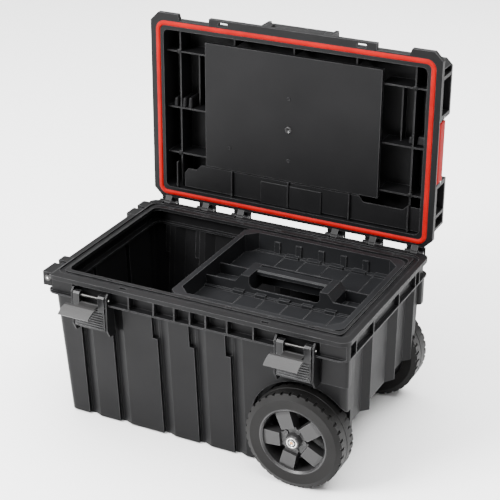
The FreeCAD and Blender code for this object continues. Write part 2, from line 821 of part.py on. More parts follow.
def lid_shell():
    """The lid: flange, crown, end cells, inner ribs and moving knuckles."""
    face, back = d.lid_face, d.lid_face + d.lid_thick
    cave = slab(
        (-d.cave_half, d.hinge_y, lid_z(d.cave_low)),
        (d.cave_half, lid_y(back - d.lid_skin), lid_z(d.cave_high)),
        10, 1,
    )
    tools = [cave, *lid_cells(), *lid_front_edge()]
    tools.append(lid_seal_ring(d.seal_width, face - 1, face + 3))
    for side in (-1, 1):
        x0, x1 = sorted((side * 281.5, side * 300.0))
        tools.append(lid_box(x0, x1, 7, 44, 133, 255))
        x0, x1 = sorted((side * 274.0, side * 300.0))
        tools.append(lid_box(x0, x1, 41, 80, 133, 255))
    arms, bores = [], []
    for side in SIDES.values():
        for spot in KNUCKLE_GROUPS:
            x = side * spot
            arms.append(knuckle(x, 6.5, d.knuckle_radius))
            outline = [(d.hinge_y - 5.5, d.hinge_z), (lid_y(face), lid_z(14)), (lid_y(face + 4), lid_z(14))]
            outline += [(lid_y(face + 4), lid_z(8)), (d.hinge_y + 5.5, d.hinge_z)]
            arms.append(prism("YZ", outline, x - 6.5, 13))
            bores.append(knuckle(x, 20, d.hinge_pin_radius + d.running_gap))
    pins = bail_pin_rods() + clip_pin_rods()
    body = fuse(cut(lid_blank(), *tools), *lid_ribs(), *arms)
    return node(cut(body, *bores, *pins), "lid_shell")


def lid_inner_plate():
    """The flat panel over the middle of the lid's cavity, with its skirt."""
    half, low, high = d.plate_half, d.plate_low, d.plate_high
    near, far = d.lid_face + 5, d.lid_face + 14
    blank = lid_box(-half, half, near, far, low, high)
    hollow = lid_box(-half + 3, half - 3, near + 3, far + 1, low + 3, high - 3)
    return node(cut(blank, hollow), "lid_inner_plate")


def document_pocket():
    """The low panel across the bottom of the lid that holds papers."""
    outline = [(-226, lid_z(38)), (262, lid_z(38)), (262, lid_z(84)), (236, lid_z(84))]
    outline += [(228, lid_z(76)), (150, lid_z(76)), (142, lid_z(87)), (-190, lid_z(87))]
    outline += [(-200, lid_z(76)), (-218, lid_z(76)), (-226, lid_z(66))]
    blank = prism("XZ", outline, lid_y(11), 3)
    return node(blank, "document_pocket")


def pocket_clips():
    """The short posts that hold the document pocket off the lid's skin."""
    far = d.lid_face + d.lid_thick - d.lid_skin
    posts = [lid_box(x, x + 8, 14, far, 42, 50) for x in (-196, -60, 60, 196)]
    return node(group(*posts), "pocket_posts")


def seal():
    """The red seal, pressed into the lid's groove."""
    near = d.lid_face - d.seal_proud
    return node(lid_seal_ring(d.seal_width, near, d.lid_face + 3), "lid_seal")


def bail_pin_rods():
    """The two pins that the lid handle turns on."""
    pins = []
    for start in (-d.bail_half - 6, d.bail_half - 8):
        pins.append(rod((start, d.bail_pin_y, lid_z(d.bail_pin_z)), "X", 14, 2.5))
    return pins


def lid_handle():
    """The folding handle that lies along the lid's front edge, and its pins."""
    node(group(*bail_pin_rods()), "lid_handle_pins")
    low, high = lid_z(d.bail_pin_z - 4), lid_z(d.bail_pin_z + 6)
    near = lid_y(d.lid_face + d.lid_flange + 1)
    grip = ease(box((-d.bail_half, near, low), (d.bail_half, near + 14, high)), 3, 0)
    pieces = [grip, rod((-d.bail_half, d.bail_pin_y, lid_z(d.bail_pin_z)), "X", d.bail_half * 2, 6)]
    for start in (-d.bail_half, d.bail_half - 11):
        pieces.append(box((start, near + 6, low), (start + 11, d.bail_pin_y, high)))
    bore = rod((-90, d.bail_pin_y, lid_z(d.bail_pin_z)), "X", 180, 2.5 + d.running_gap)
    return node(cut(fuse(*pieces), bore), "lid_handle")


def clip_pin_rods():
    """The two long pins that the side clips turn on."""
    pins = []
    for side in SIDES.values():
        start = (side * d.clip_pin_x, d.clip_pin_y, lid_z(d.clip_low - 8))
        pins.append(rod(start, "Z", d.clip_high - d.clip_low + 16, 1.6))
    return pins


def side_clips():
    """The red clips on the lid's ends, and their pins."""
    pins = dict(zip(SIDES, clip_pin_rods()))
    for name, side in SIDES.items():
        node(pins[name], f"clip_pin_{name}")
        low, high = lid_z(d.clip_low), lid_z(d.clip_high)
        x0, x1 = (284.6, 290.6) if side > 0 else (-290.6, -284.6)
        plate = box((x0, 201, low), (x1, d.clip_pin_y, high))
        eye = rod((side * d.clip_pin_x, d.clip_pin_y, low), "Z", high - low, 3)
        bow = [(side * 290, 202), (side * 291.6, 207), (side * 291.6, 218), (side * 290, 225)]
        face = prism("XY", bow, low + 2, high - low - 4)
        start = (side * d.clip_pin_x, d.clip_pin_y, low - 1)
        bore = rod(start, "Z", high - low + 2, 1.6 + d.running_gap)
        node(cut(fuse(plate, eye, face), bore), f"side_clip_{name}")


# ---------------------------------------------------------------- tray
def tray_outline(inset, low, high, chamfer):
    """The tray's chamfered block, inset from its flange."""
    corner0 = (-d.tray_left + inset, -d.tray_front + inset, low)
    corner1 = (d.tray_right - inset, d.tray_back - inset, high)
    return ease(box(corner0, corner1), chamfer, 2, "Part::Chamfer")


def tray_body():
    """The lift-out tray: flange, walls, raised middle and divider beads."""
    top, floor, wall = d.tray_top, d.tray_floor, d.tray_wall
    flange = tray_outline(0, top - d.tray_flange, top, d.tray_chamfer - 8)
    bin_block = tray_outline(d.tray_inset, floor, top, d.tray_chamfer)
    room = tray_outline(d.tray_inset + wall, floor + wall, 310, d.tray_chamfer)
    tray = cut(fuse(flange, bin_block), room)
    under = tray_outline(4, floor - 1, top - 2, d.tray_chamfer - 8)
    gutter = cut(under, bin_block)
    ridge, slots = tray_ridge()
    beads, lines = [], []
    for x in TRAY_STATIONS:
        beads.append(box((x - 24, 136.5, floor + 1), (x - 13, 142, top - 11)))
        beads.append(box((x - 20, d.ridge_front - 8, floor + 1), (x, d.ridge_front + 1, floor + 9)))
        beads.append(box((x + 2, 128, floor + 1), (x + 28, 142, floor + 7)))
        lines.append(box((x - 0.7, -150, floor + wall - 1), (x + 0.7, 145, floor + wall + 0.2)))
    beads.append(box((-51.5, d.ridge_front - 6, floor + 1), (252, d.ridge_front + 1, floor + 5.5)))
    beads.append(box((-51.5, 132, floor + 1), (252, 142, floor + 4.5)))
    base = cut(cut(tray, gutter), *lines)
    return node(cut(fuse(base, *ridge, *beads), *slots), "tray_body")


def tray_ridge():
    """The tray's raised middle, and what is cut through it for the fingers."""
    floor, low, high = d.tray_floor + 1, d.ridge_low, d.tray_top - 0.5
    start, end = d.grip_start, d.grip_end
    outline = [(-51.5, floor), (-51.5, low), (7, low), (19, high), (187, high), (198, low)]
    outline += [(252.5, low), (252.5, floor)]
    front = prism("XZ", outline, d.ridge_front, 2.5)
    back = prism("XZ", outline, d.ridge_back - 2.5, 2.5)
    depth = d.ridge_back - d.ridge_front
    left = [(7, floor), (7, low), (19, high), (start, high), (start, floor)]
    right = [(end, floor), (end, high), (187, high), (198, low), (198, floor)]
    blocks = [prism("XZ", block, d.ridge_front, depth) for block in (left, right)]
    dip = slab((start, d.ridge_front - 3, 270), (end, d.ridge_front + 5, 310), 10, 1)
    well = box((start, d.ridge_front + 2.5, floor - 5), (end, d.ridge_back - 2.5, 300))
    return [front, back, *blocks], [dip, well]


def tray_grip():
    """The bar across the tray's finger slot."""
    outline = [(-6, 283), (16, 283), (16, 289), (13, 291.5), (-3, 291.5), (-6, 289)]
    bar = prism("YZ", outline, d.grip_start, d.grip_end - d.grip_start)
    return node(bar, "tray_grip")


# ---------------------------------------------------------------- tow handle
def tow_brackets():
    """The two slotted corner brackets, with the bolt through each."""
    z0 = d.rim_top - 26
    for name, y0, y1 in (("front", -186, -114), ("rear", 104, 172)):
        middle = -d.tow_eye_y if name == "front" else d.tow_eye_y
        blank = slab((-d.bracket_out, y0, z0), (-d.bracket_in, y1, d.rim_top), 2.5)
        slot = box((-310, middle - 6.6, z0 - 1), (-d.bracket_in - 1.5, middle + 6.6, 310))
        bolt = rod((-d.tow_pivot_x, y0 - 1, d.tow_pivot_z), "Y", y1 - y0 + 2, 4)
        node(cut(blank, slot, bolt), f"tow_bracket_{name}")
        shank = rod((-d.tow_pivot_x, y0, d.tow_pivot_z), "Y", y1 - y0, 4)
        head_y = y0 - 2.6 if name == "front" else y1
        head = rod((-d.tow_pivot_x, head_y, d.tow_pivot_z), "Y", 2.6, 6)
        node(fuse(shank, head), f"tow_bolt_{name}")


def tow_handle():
    """The U-shaped tow handle, folded down against the left end wall."""
    x0, x1 = -d.bracket_out, -d.bracket_out + 9
    pieces = []
    for side in (-1, 1):
        y0, y1 = side * d.tow_arm_y - 6, side * d.tow_arm_y + 6
        link = d.tow_pivot_z - 20.6
        pieces.append(box((x0, y0, d.tow_low), (x1, y1, link)))
        y0, y1 = side * d.tow_eye_y - 6, side * d.tow_eye_y + 6
        reach = sorted((side * number(d.tow_eye_y + 6), side * number(d.tow_arm_y - 6)))
        pieces.append(box((x0, reach[0], link - 11), (x1, reach[1], link)))
        top = d.tow_pivot_z - 5
        pieces.append(box((x0, y0, link - 1), (x1, y1, top)))
        pieces.append(box((x0, y0, top - 11), (-d.tow_pivot_x + 5.5, y1, top)))
        pieces.append(rod((-d.tow_pivot_x, y0, d.tow_pivot_z), "Y", 12, 7))
    bar_x = -d.bracket_out + 4.5
    pieces.append(rod((bar_x, -d.tow_arm_y, d.tow_low), "Y", d.tow_arm_y * 2, 6))
    tools = [rod((-d.tow_pivot_x, -200, d.tow_pivot_z), "Y", 400, 4 + d.running_gap)]
    tools.append(rod((bar_x, -62, d.tow_low), "Y", 124, 8.5))
    frame = fuse(*pieces)
    rest = rod((bar_x, -70, d.tow_low), "Y", 140, 5.5)
    node(fuse(cut(frame, *tools), rest), "tow_handle")
    sleeve = rod((bar_x, -62, d.tow_low), "Y", 124, 8.5)
    core = rod((bar_x, -70, d.tow_low), "Y", 140, 5.5)
    return node(cut(sleeve, core), "tow_grip")


def build():
    """Make every sub-part."""
    tub_shell()
    foot_pads()
    centre_skid()
    tub_rim()
    hinge_pins()
    tray_rails()
    for name, side in SIDES.items():
        latch_bay(name, side)
        latch_pin(name, side)
        latch_lever(name, side)
        hook_pin(name, side)
        latch_hook(name, side)
    axle()
    axle_brackets()
    wheel_set()
    lid_shell()
    lid_inner_plate()
    document_pocket()
    pocket_clips()
    seal()
    lid_handle()
    side_clips()
    tray_body()
    tray_grip()
    tow_brackets()
    tow_handle()


def check():
    """Stop if any object failed or any sub-part is empty or faulty."""
    for thing in doc.Objects:
        bad = {"Invalid", "Error"} & set(thing.State)
        if bad:
            raise RuntimeError(f"{thing.Name} ({thing.Label}) is {sorted(bad)}")
    for thing in nodes:
        if thing.Shape.isNull() or not thing.Shape.isValid():
            raise RuntimeError(f"{thing.Label} has no valid shape")


def export():
    """Write each sub-part's solids to its own file."""
    os.makedirs("parts", exist_ok=True)
    for thing in nodes:
        shape = thing.Shape
        print(thing.Label, len(shape.Solids), round(shape.Volume / 1000, 1), "cm3")
        shape.exportStep(f"parts/{thing.Label}.step")


build()
doc.recompute()
check()
export()
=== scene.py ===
"""Looks of the rolling tool chest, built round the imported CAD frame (metres)."""
import json
import math

import bmesh
import bpy
from mathutils import Matrix, Vector


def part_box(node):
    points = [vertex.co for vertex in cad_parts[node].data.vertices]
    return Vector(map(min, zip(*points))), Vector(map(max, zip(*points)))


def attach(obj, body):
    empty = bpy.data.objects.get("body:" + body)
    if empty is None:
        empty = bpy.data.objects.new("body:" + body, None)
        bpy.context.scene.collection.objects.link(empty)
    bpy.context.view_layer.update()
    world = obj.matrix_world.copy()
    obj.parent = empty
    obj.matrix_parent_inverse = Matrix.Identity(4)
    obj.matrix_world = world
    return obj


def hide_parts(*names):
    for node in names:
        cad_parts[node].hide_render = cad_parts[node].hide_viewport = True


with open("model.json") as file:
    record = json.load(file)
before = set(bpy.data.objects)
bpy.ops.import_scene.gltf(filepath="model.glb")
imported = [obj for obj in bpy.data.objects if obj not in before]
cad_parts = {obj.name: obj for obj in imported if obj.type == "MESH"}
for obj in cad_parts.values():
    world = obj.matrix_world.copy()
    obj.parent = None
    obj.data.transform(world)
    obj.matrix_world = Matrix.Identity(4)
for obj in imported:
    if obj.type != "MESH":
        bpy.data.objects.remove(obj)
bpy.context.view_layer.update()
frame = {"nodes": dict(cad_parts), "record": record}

MM = 0.001
JOINTS = {joint["name"]: joint for joint in frame["record"]["behaviour"]["joints"]}
SLOT_OF = {part["node"]: part["material_slot"] for part in frame["record"]["subparts"]}
HINGE = Vector(JOINTS["lid_hinge"]["pos_m"])
HINGE_SPOTS = (99, 175.5, 258.5)
WHEEL_SIDES = (("front", -1), ("rear", 1))


# ------------------------------------------------------------ materials
class Shader:
    """A material's node tree, with short calls to add and join nodes."""

    def __init__(self, name):
        self.material = bpy.data.materials.new(name)
        self.material.use_nodes = True
        self.tree = self.material.node_tree
        self.bsdf = self.tree.nodes["Principled BSDF"]
        coordinates = self.tree.nodes.new("ShaderNodeTexCoord")
        self.place = coordinates.outputs["Object"]

    def node(self, kind, **settings):
        """A node with its plain settings and input values."""
        made = self.tree.nodes.new(kind)
        for key, value in settings.items():
            if key in made.inputs:
                made.inputs[key].default_value = value
            else:
                setattr(made, key, value)
        return made

    def link(self, start, end):
        """Join an output to an input."""
        self.tree.links.new(start, end)

    def stretched(self, scale):
        """The object's own coordinates, scaled by a vector."""
        mapping = self.node("ShaderNodeMapping")
        mapping.inputs["Scale"].default_value = scale
        self.link(self.place, mapping.inputs["Vector"])
        return mapping.outputs["Vector"]

    def noise(self, scale, detail=3.0, rough=0.5, place=None):
        """A noise value over the object's own coordinates."""
        made = self.node("ShaderNodeTexNoise", Scale=scale, Detail=detail, Roughness=rough)
        self.link(place or self.place, made.inputs["Vector"])
        return made.outputs["Fac"]

    def spread(self, value, low, high, start=0.0, end=1.0):
        """A value mapped from one range to another."""
        made = self.node("ShaderNodeMapRange")
        self.link(value, made.inputs["Value"])
        limits = {"From Min": start, "From Max": end, "To Min": low, "To Max": high}
        for key, number in limits.items():
            made.inputs[key].default_value = number
        return made.outputs["Result"]

    def tint(self, value, first, second, start=0.3, end=0.7):
        """A colour between two, picked by a value."""
        ramp = self.node("ShaderNodeValToRGB")
        ramp.color_ramp.elements[0].position = start
        ramp.color_ramp.elements[1].position = end
        ramp.color_ramp.elements[0].color = (*first, 1)
        ramp.color_ramp.elements[1].color = (*second, 1)
        self.link(value, ramp.inputs["Fac"])
        return ramp.outputs["Color"]

    def bumps(self, layers):
        """Bump from several (height, strength, distance) layers, one on another."""
        normal = None
        for height, strength, distance in layers:
            bump = self.node("ShaderNodeBump", Strength=strength, Distance=distance)
            self.link(height, bump.inputs["Height"])
            if normal:
                self.link(normal, bump.inputs["Normal"])
            normal = bump.outputs["Normal"]
        self.link(normal, self.bsdf.inputs["Normal"])

    def edge_light(self, colour, width, amount):
        """A colour painted lighter along the edges: a painted highlight for the bright lines that
        light draws on rounded edges.
        """
        bevel = self.node("ShaderNodeBevel", samples=4, Radius=width)
        geometry = self.node("ShaderNodeNewGeometry")
        dot = self.node("ShaderNodeVectorMath", operation="DOT_PRODUCT")
        self.link(bevel.outputs["Normal"], dot.inputs[0])
        self.link(geometry.outputs["Normal"], dot.inputs[1])
        # Painted highlight mask along the edges, where the bevelled normal turns away from the
        # face normal.
        edge_highlight = self.spread(dot.outputs["Value"], 1.0, 0.0, 0.86, 0.995)
        patchy = self.node("ShaderNodeMath", operation="MULTIPLY")
        self.link(edge_highlight, patchy.inputs[0])
        self.link(self.spread(self.noise(60.0), 0.3, 1.0, 0.3, 0.7), patchy.inputs[1])
        mix = self.node("ShaderNodeMix", data_type="RGBA", blend_type="MIX")
        self.link(patchy.outputs["Value"], mix.inputs["Factor"])
        self.link(colour, mix.inputs["A"])
        # The painted highlight's light grey.
        mix.inputs["B"].default_value = (amount, amount, amount * 1.02, 1)
        return mix.outputs["Result"]


def moulded(name, dark, light, rough, grain=0.5, edge_highlight=0.09, specular=0.12):
    """Moulded plastic with a fine spark-eroded grain, slow changes of sheen and a painted
    highlight along its edges.
    """
    shader = Shader(name)
    slow = shader.noise(7.0, 4.0, 0.55)
    colour = shader.tint(slow, dark, light)
    # Painted highlight: the colour is lightened along the edges.
    shader.link(shader.edge_light(colour, 0.0012, edge_highlight), shader.bsdf.inputs["Base Color"])
    sheen = shader.spread(shader.noise(24.0, 5.0, 0.6), rough - 0.05, rough + 0.07)
    shader.link(sheen, shader.bsdf.inputs["Roughness"])
    shader.bsdf.inputs["Specular IOR Level"].default_value = specular
    fine = shader.noise(2600.0, 2.0, 0.6)
    flow = shader.noise(18.0, 2.0, 0.5)
    shader.bumps([(flow, 0.08, 0.002), (fine, grain, 0.00012)])
    return shader.material


def steel(name, colour, rough, along=(40.0, 900.0, 900.0)):
    """Zinc-plated steel with fine drawn lines along X."""
    shader = Shader(name)
    lines = shader.noise(1.0, 3.0, 0.6, shader.stretched(along))
    shader.bsdf.inputs["Metallic"].default_value = 1.0
    tone = shader.tint(lines, tuple(c * 0.8 for c in colour), colour)
    shader.link(tone, shader.bsdf.inputs["Base Color"])
    shader.link(shader.spread(lines, rough - 0.06, rough + 0.1), shader.bsdf.inputs["Roughness"])
    shader.bumps([(lines, 0.25, 0.00005)])
    return shader.material


def soft_rubber(name, dark, light, rough):
    """Solid rubber: a satin skin with a faint mould texture."""
    shader = Shader(name)
    slow = shader.noise(30.0, 3.0)
    shader.link(shader.tint(slow, dark, light), shader.bsdf.inputs["Base Color"])
    shader.link(shader.spread(slow, rough - 0.05, rough + 0.08), shader.bsdf.inputs["Roughness"])
    shader.bsdf.inputs["Specular IOR Level"].default_value = 0.06
    shader.bumps([(shader.noise(1400.0, 2.0), 0.25, 0.00008)])
    return shader.material


def glossy(name, dark, light, rough):
    """Glossy moulded plastic with a light orange-peel."""
    shader = Shader(name)
    slow = shader.noise(9.0, 2.0)
    shader.link(shader.tint(slow, dark, light), shader.bsdf.inputs["Base Color"])
    sheen = shader.spread(shader.noise(60.0), rough - 0.04, rough + 0.06)
    shader.link(sheen, shader.bsdf.inputs["Roughness"])
    shader.bsdf.inputs["Specular IOR Level"].default_value = 0.05
    shader.bumps([(shader.noise(160.0, 2.0), 0.06, 0.0004)])
    return shader.material


def make_materials():
    """One finish for each material slot of the record."""
    # Each moulded finish has its edges painted lighter, a painted highlight, by 0.09 unless the
    # keyword after grain says otherwise.
    return {
        "black_plastic": moulded(
            "black_moulded", (0.0030, 0.0030, 0.0033), (0.0058, 0.0057, 0.0061), 0.46),
        "tray_plastic": moulded(
            "tray_moulded", (0.0050, 0.0052, 0.0058), (0.0090, 0.0092, 0.0100), 0.36),
        "wheel_plastic": moulded(
            "wheel_moulded", (0.012, 0.0118, 0.0122), (0.019, 0.0185, 0.0188), 0.30,
            grain=0.15, edge_highlight=0.10, specular=0.4),
        "tyre": moulded(
            "tyre_moulded", (0.0042, 0.0040, 0.0039), (0.0095, 0.0092, 0.0090), 0.44,
            grain=0.35, edge_highlight=0.025),
        "steel": steel("zinc_steel", (0.70, 0.69, 0.67), 0.26),
        "latch_grey": moulded(
            "latch_satin", (0.012, 0.0117, 0.0118), (0.020, 0.0195, 0.0195), 0.34,
            grain=0.12, edge_highlight=0.05, specular=0.3),
        "bush_nylon": glossy("bush_nylon", (0.62, 0.60, 0.55), (0.70, 0.68, 0.62), 0.35),
        "red_seal": soft_rubber(
            "red_seal", (0.22, 0.0004, 0.0008), (0.29, 0.0010, 0.0014), 0.55),
        "red_clip": glossy("red_clip", (0.22, 0.0001, 0.0003), (0.27, 0.0002, 0.0004), 0.55),
        "tow_metal": moulded(
            "tow_paint", (0.008, 0.008, 0.009), (0.012, 0.012, 0.013), 0.32,
            grain=0.2, edge_highlight=0.05),
        "grip_rubber": soft_rubber(
            "grip_rubber", (0.006, 0.006, 0.0066), (0.010, 0.010, 0.0105), 0.62),
    }


MATERIALS = make_materials()
DARK_STEEL = steel("dark_steel", (0.055, 0.054, 0.053), 0.34)
# The lever's finish is a lighter copy of the black plastic with a stronger painted edge highlight:
# painted light for the bright lines on the lever's ribs.
LEVER_BLACK = moulded(
    "lever_black", (0.0050, 0.0050, 0.0054), (0.0090, 0.0088, 0.0092), 0.38,
    grain=0.15, edge_highlight=0.15, specular=0.2)
COPPER = steel("copper_tip", (0.62, 0.30, 0.12), 0.35)
SPECIAL_FINISHES = {"latch_pin": DARK_STEEL, "tow_bolt": DARK_STEEL, "latch_lever": LEVER_BLACK}


def paint(piece, material):
    """Give a piece one material and no other."""
    piece.data.materials.clear()
    piece.data.materials.append(material)


def dress_cad():
    """Give every CAD node its finish, and round its edges slightly."""
    thin = ("hinge_pins", "clip_pin", "hook_pin", "latch_pin", "lid_handle_pins")
    large = ("tub", "lid_shell")
    for name, node in frame["nodes"].items():
        finish = MATERIALS[SLOT_OF[name]]
        for start, special in SPECIAL_FINISHES.items():
            if name.startswith(start):
                finish = special
        paint(node, finish)
        if name.startswith(thin):
            continue
        bevel = node.modifiers.new("edge", "BEVEL")
        bevel.width = 0.9 * MM if name.startswith(large) else 0.6 * MM
        bevel.segments = 2
        bevel.limit_method = "ANGLE"
        bevel.angle_limit = math.radians(28)
        bevel.use_clamp_overlap = True
        bevel.harden_normals = True


# ------------------------------------------------------------ pieces
def lid_spot(x, depth, height):
    """A point on the open lid: across, behind its hinge line and above it, in mm."""
    return Vector((x * MM, HINGE.y + depth * MM, HINGE.z + height * MM))


def piece_from(name, verts, faces, body, slot, smooth=True, bevel=0.0):
    """A new piece on a body, with its slot's material."""
    mesh = bpy.data.meshes.new(name)
    mesh.from_pydata([tuple(v) for v in verts], [], faces)
    mesh.validate()
    grid = bmesh.new()
    grid.from_mesh(mesh)
    bmesh.ops.recalc_face_normals(grid, faces=grid.faces)
    grid.to_mesh(mesh)
    grid.free()
    for polygon in mesh.polygons:
        polygon.use_smooth = smooth
    made = bpy.data.objects.new(name, mesh)
    bpy.context.collection.objects.link(made)
    paint(made, MATERIALS[slot])
    if bevel:
        edge = made.modifiers.new("edge", "BEVEL")
        edge.width = bevel * MM
        edge.segments = 2
        edge.limit_method = "ANGLE"
        edge.harden_normals = True
    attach(made, body)
    return made


def lathe(name, outline, centre, axis, body, slot, sides=48):
    """A turned piece: (distance along, radius) pairs in mm, spun about an axis."""
    along = Vector(axis).normalized()
    across = along.orthogonal().normalized()
    other = along.cross(across)
    verts, faces = [], []
    for far, radius in outline:
        for step in range(sides):
            angle = math.tau * step / sides
            out = (across * math.cos(angle) + other * math.sin(angle)) * (radius * MM)
            verts.append(Vector(centre) + along * (far * MM) + out)
    for row in range(len(outline) - 1):
        for step in range(sides):
            ahead = (step + 1) % sides
            low, high = row * sides, (row + 1) * sides
            faces.append((low + step, low + ahead, high + ahead, high + step))
    faces.append(tuple(range(sides)))
    last = (len(outline) - 1) * sides
    faces.append(tuple(range(last, last + sides)))
    return piece_from(name, verts, faces, body, slot)


def block(name, low, high, body, slot, bevel=0.8, top_inset=(0.0, 0.0)):
    """A block between two corners in metres, its top drawn in by (x, y) mm."""
    dx, dy = (value * MM for value in top_inset)
    verts = []
    for z, ix, iy in ((low[2], 0, 0), (high[2], dx, dy)):
        verts += [(low[0] + ix, low[1] + iy, z), (high[0] - ix, low[1] + iy, z)]
        verts += [(high[0] - ix, high[1] - iy, z), (low[0] + ix, high[1] - iy, z)]
    faces = [(0, 1, 2, 3), (4, 5, 6, 7), (0, 1, 5, 4), (1, 2, 6, 5), (2, 3, 7, 6), (3, 0, 4, 7)]
    return piece_from(name, verts, faces, body, slot, False, bevel)


def rounded_path(half_x, half_z, radius, steps=10):
    """Points and outward directions round a rounded rectangle in mm."""
    path = []
    for sx, sz, start in ((1, 1, 0), (-1, 1, 90), (-1, -1, 180), (1, -1, 270)):
        for step in range(steps + 1):
            angle = math.radians(start + 90 * step / steps)
            out = (math.cos(angle), math.sin(angle))
            centre = (sx * (half_x - radius), sz * (half_z - radius))
            path.append(((centre[0] + out[0] * radius, centre[1] + out[1] * radius), out))
    return path


def seal_ring():
    """The red seal with its rounded crown, in place of the square CAD ring."""
    half_width, corner = 4.5, 14
    low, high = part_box("lid_seal")
    middle = (low + high) / 2
    half_x = (high.x - low.x) / 2 / MM - half_width
    half_z = (high.z - low.z) / 2 / MM - half_width
    section = [(-4.4, 5.4), (-4.4, 2.2)]
    for step in range(9):
        angle = math.radians(180 - 22.5 * step)
        section.append((4.2 * math.cos(angle), 2.0 - 2.0 * math.sin(angle)))
    section += [(4.4, 2.2), (4.4, 5.4)]
    verts, faces = [], []
    path = rounded_path(half_x, half_z, corner)
    for (x, z), out in path:
        for wide, deep in section:
            spot = (x + out[0] * wide, z + out[1] * wide)
            verts.append((middle.x + spot[0] * MM, low.y + deep * MM, middle.z + spot[1] * MM))
    count = len(section)
    for row in range(len(path)):
        ahead = (row + 1) % len(path)
        for step in range(count):
            beside = (step + 1) % count
            faces.append((row * count + step, row * count + beside,
                          ahead * count + beside, ahead * count + step))
    ring = piece_from("seal_ring", verts, faces, "lid", "red_seal")
    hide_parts("lid_seal")


def plate_marks():
    """The moulding marks on the lid's plate: three pin dots and a six-sided dimple, the dimple in
    a lighter plastic as a painted highlight.
    """
    face = (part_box("lid_inner_plate")[0].y - HINGE.y) / MM
    for number, (x, height) in enumerate(((-4, 253), (-3, 131), (-127, 135))):
        outline = [(0.2, 3.8), (-0.8, 3.5), (-1.3, 2.8), (-1.1, 2.0), (-0.1, 1.6)]
        spot = lid_spot(x, face, height)
        lathe(f"plate_dot_{number}", outline, spot, (0, 1, 0), "lid", "black_plastic", 24)
    outline = [(0.3, 7.6), (-1.2, 7.0), (-1.9, 6.2), (-1.9, 5.4), (-0.1, 4.2)]
    spot = lid_spot(-4, face, 192)
    # Painted highlight: the dimple takes the lighter wheel plastic to show the bright edges of its
    # ring.
    lathe("plate_hex", outline, spot, (0, 1, 0), "lid", "wheel_plastic", 6)


def lid_fittings():
    """Knobs, corner columns and thin webs in the lid's cavity, beside and below the plate."""
    for number, x in enumerate((-248, -230, -217)):
        low, high = lid_spot(x - 5, 18.2, 196), lid_spot(x + 5, 57, 215 + 2 * number)
        block(f"lid_knob_{number}", low, high, "lid", "black_plastic", 4.2, (0.8, 2))
    low, high = lid_spot(242, 26, 199), lid_spot(262, 59, 216)
    block("lid_knob_3", low, high, "lid", "black_plastic", 3.2, (1, 2))
    low, high = lid_spot(226, 26, 199), lid_spot(235, 59, 213)
    block("lid_knob_4", low, high, "lid", "black_plastic", 3.2, (1, 2))
    for tag, side in (("m1", -1), ("1", 1)):
        for height in (103.5, 308.5):
            spot = lid_spot(side * 238.3, 17.4, height)
            outline = [(0.0, 4.4), (0.5, 4.8), (38, 4.8), (40, 4.6)]
            name = f"lid_column_{tag}_{int(height)}"
            lathe(name, outline, spot, (0, 1, 0), "lid", "black_plastic", 20)
    for side, x in (("left", -247), ("right", 247)):
        for bottom, top in ((103, 190), (223, 300)):
            length = top - bottom
            outline = [(0, 3.4), (1.5, 4.6), (length - 1.5, 4.6), (length, 3.4)]
            spot = lid_spot(x, 52, bottom)
            name = f"lid_column_{side}_{bottom}"
            lathe(name, outline, spot, (0, 0, 1), "lid", "black_plastic", 24)
    face = (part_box("document_pocket")[0].y - HINGE.y) / MM
    foot = 36
    for number, x in enumerate((-240, -121, -2, 123, 240)):
        back = face + 3 if abs(x) > 230 else face + 0.2
        low, high = lid_spot(x - 1.2, face - 5.5, foot), lid_spot(x + 1.2, back, 88)
        block(f"pocket_web_{number}", low, high, "lid", "black_plastic", 0.5, (0, 0.6))
        outline = [(0.0, 1.8), (0.6, 2.5), (6.0, 2.3), (7.6, 1.4)]
        spot = lid_spot(x, face - 3.1, foot)
        lathe(f"pocket_web_foot_{number}", outline, spot, (0, 0, 1), "lid", "black_plastic", 16)
    low, high = lid_spot(-60, face - 3.0, foot), lid_spot(66, face + 0.2, 80)
    block("pocket_tab", low, high, "lid", "black_plastic", 0.7, (0, 0.4))


def hub_ends():
    """Washer, dark well, steel ring and coppery axle end on each wheel's outer side."""
    for name, side in WHEEL_SIDES:
        low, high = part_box(f"axle_cap_{name}")
        outer = low.y if side < 0 else high.y
        centre = Vector(((low.x + high.x) / 2, outer, (low.z + high.z) / 2))
        axis = (0, side, 0)
        outline = [(-0.6, 9.8), (0.2, 9.8), (0.6, 9.3), (0.6, 8.0), (0.0, 7.5), (-0.6, 7.5)]
        lathe(f"washer_{name}", outline, centre, axis, "tub", "steel")
        outline = [(-0.5, 7.7), (0.2, 7.6), (0.2, 5.4), (-0.5, 5.4)]
        lathe(f"axle_well_{name}", outline, centre, axis, "tub", "tow_metal")
        outline = [(-0.5, 5.4), (0.8, 5.2), (1.2, 4.8), (1.2, 3.6), (0.3, 3.2)]
        lathe(f"axle_ring_{name}", outline, centre, axis, "tub", "steel")
        outline = [(-0.5, 3.0), (0.4, 2.9), (0.7, 2.4), (0.7, 0.8)]
        tip = lathe(f"axle_tip_{name}", outline, centre, axis, "tub", "steel", 24)
        paint(tip, COPPER)


def bolt_rings():
    """The raised ring round each wheel bolt."""
    bolts, first_angle, circle = 5, 141, 19.3 * MM
    outline = [(-1.6, 4.6), (-0.2, 4.5), (0.4, 4.1), (0.4, 3.6), (-0.2, 3.4), (-1.6, 3.4)]
    for name, side in WHEEL_SIDES:
        low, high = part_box(f"wheel_bolts_{name}")
        spin = JOINTS[f"wheel_{name}_spin"]["pos_m"]
        outer = low.y if side < 0 else high.y
        for step in range(bolts):
            angle = math.radians(first_angle + 360 / bolts * step)
            x = spin[0] + circle * math.cos(angle)
            z = spin[2] + circle * math.sin(angle)
            ring = f"bolt_ring_{name}_{step}"
            lathe(ring, outline, (x, outer, z), (0, side, 0), f"wheel_{name}", "wheel_plastic", 24)


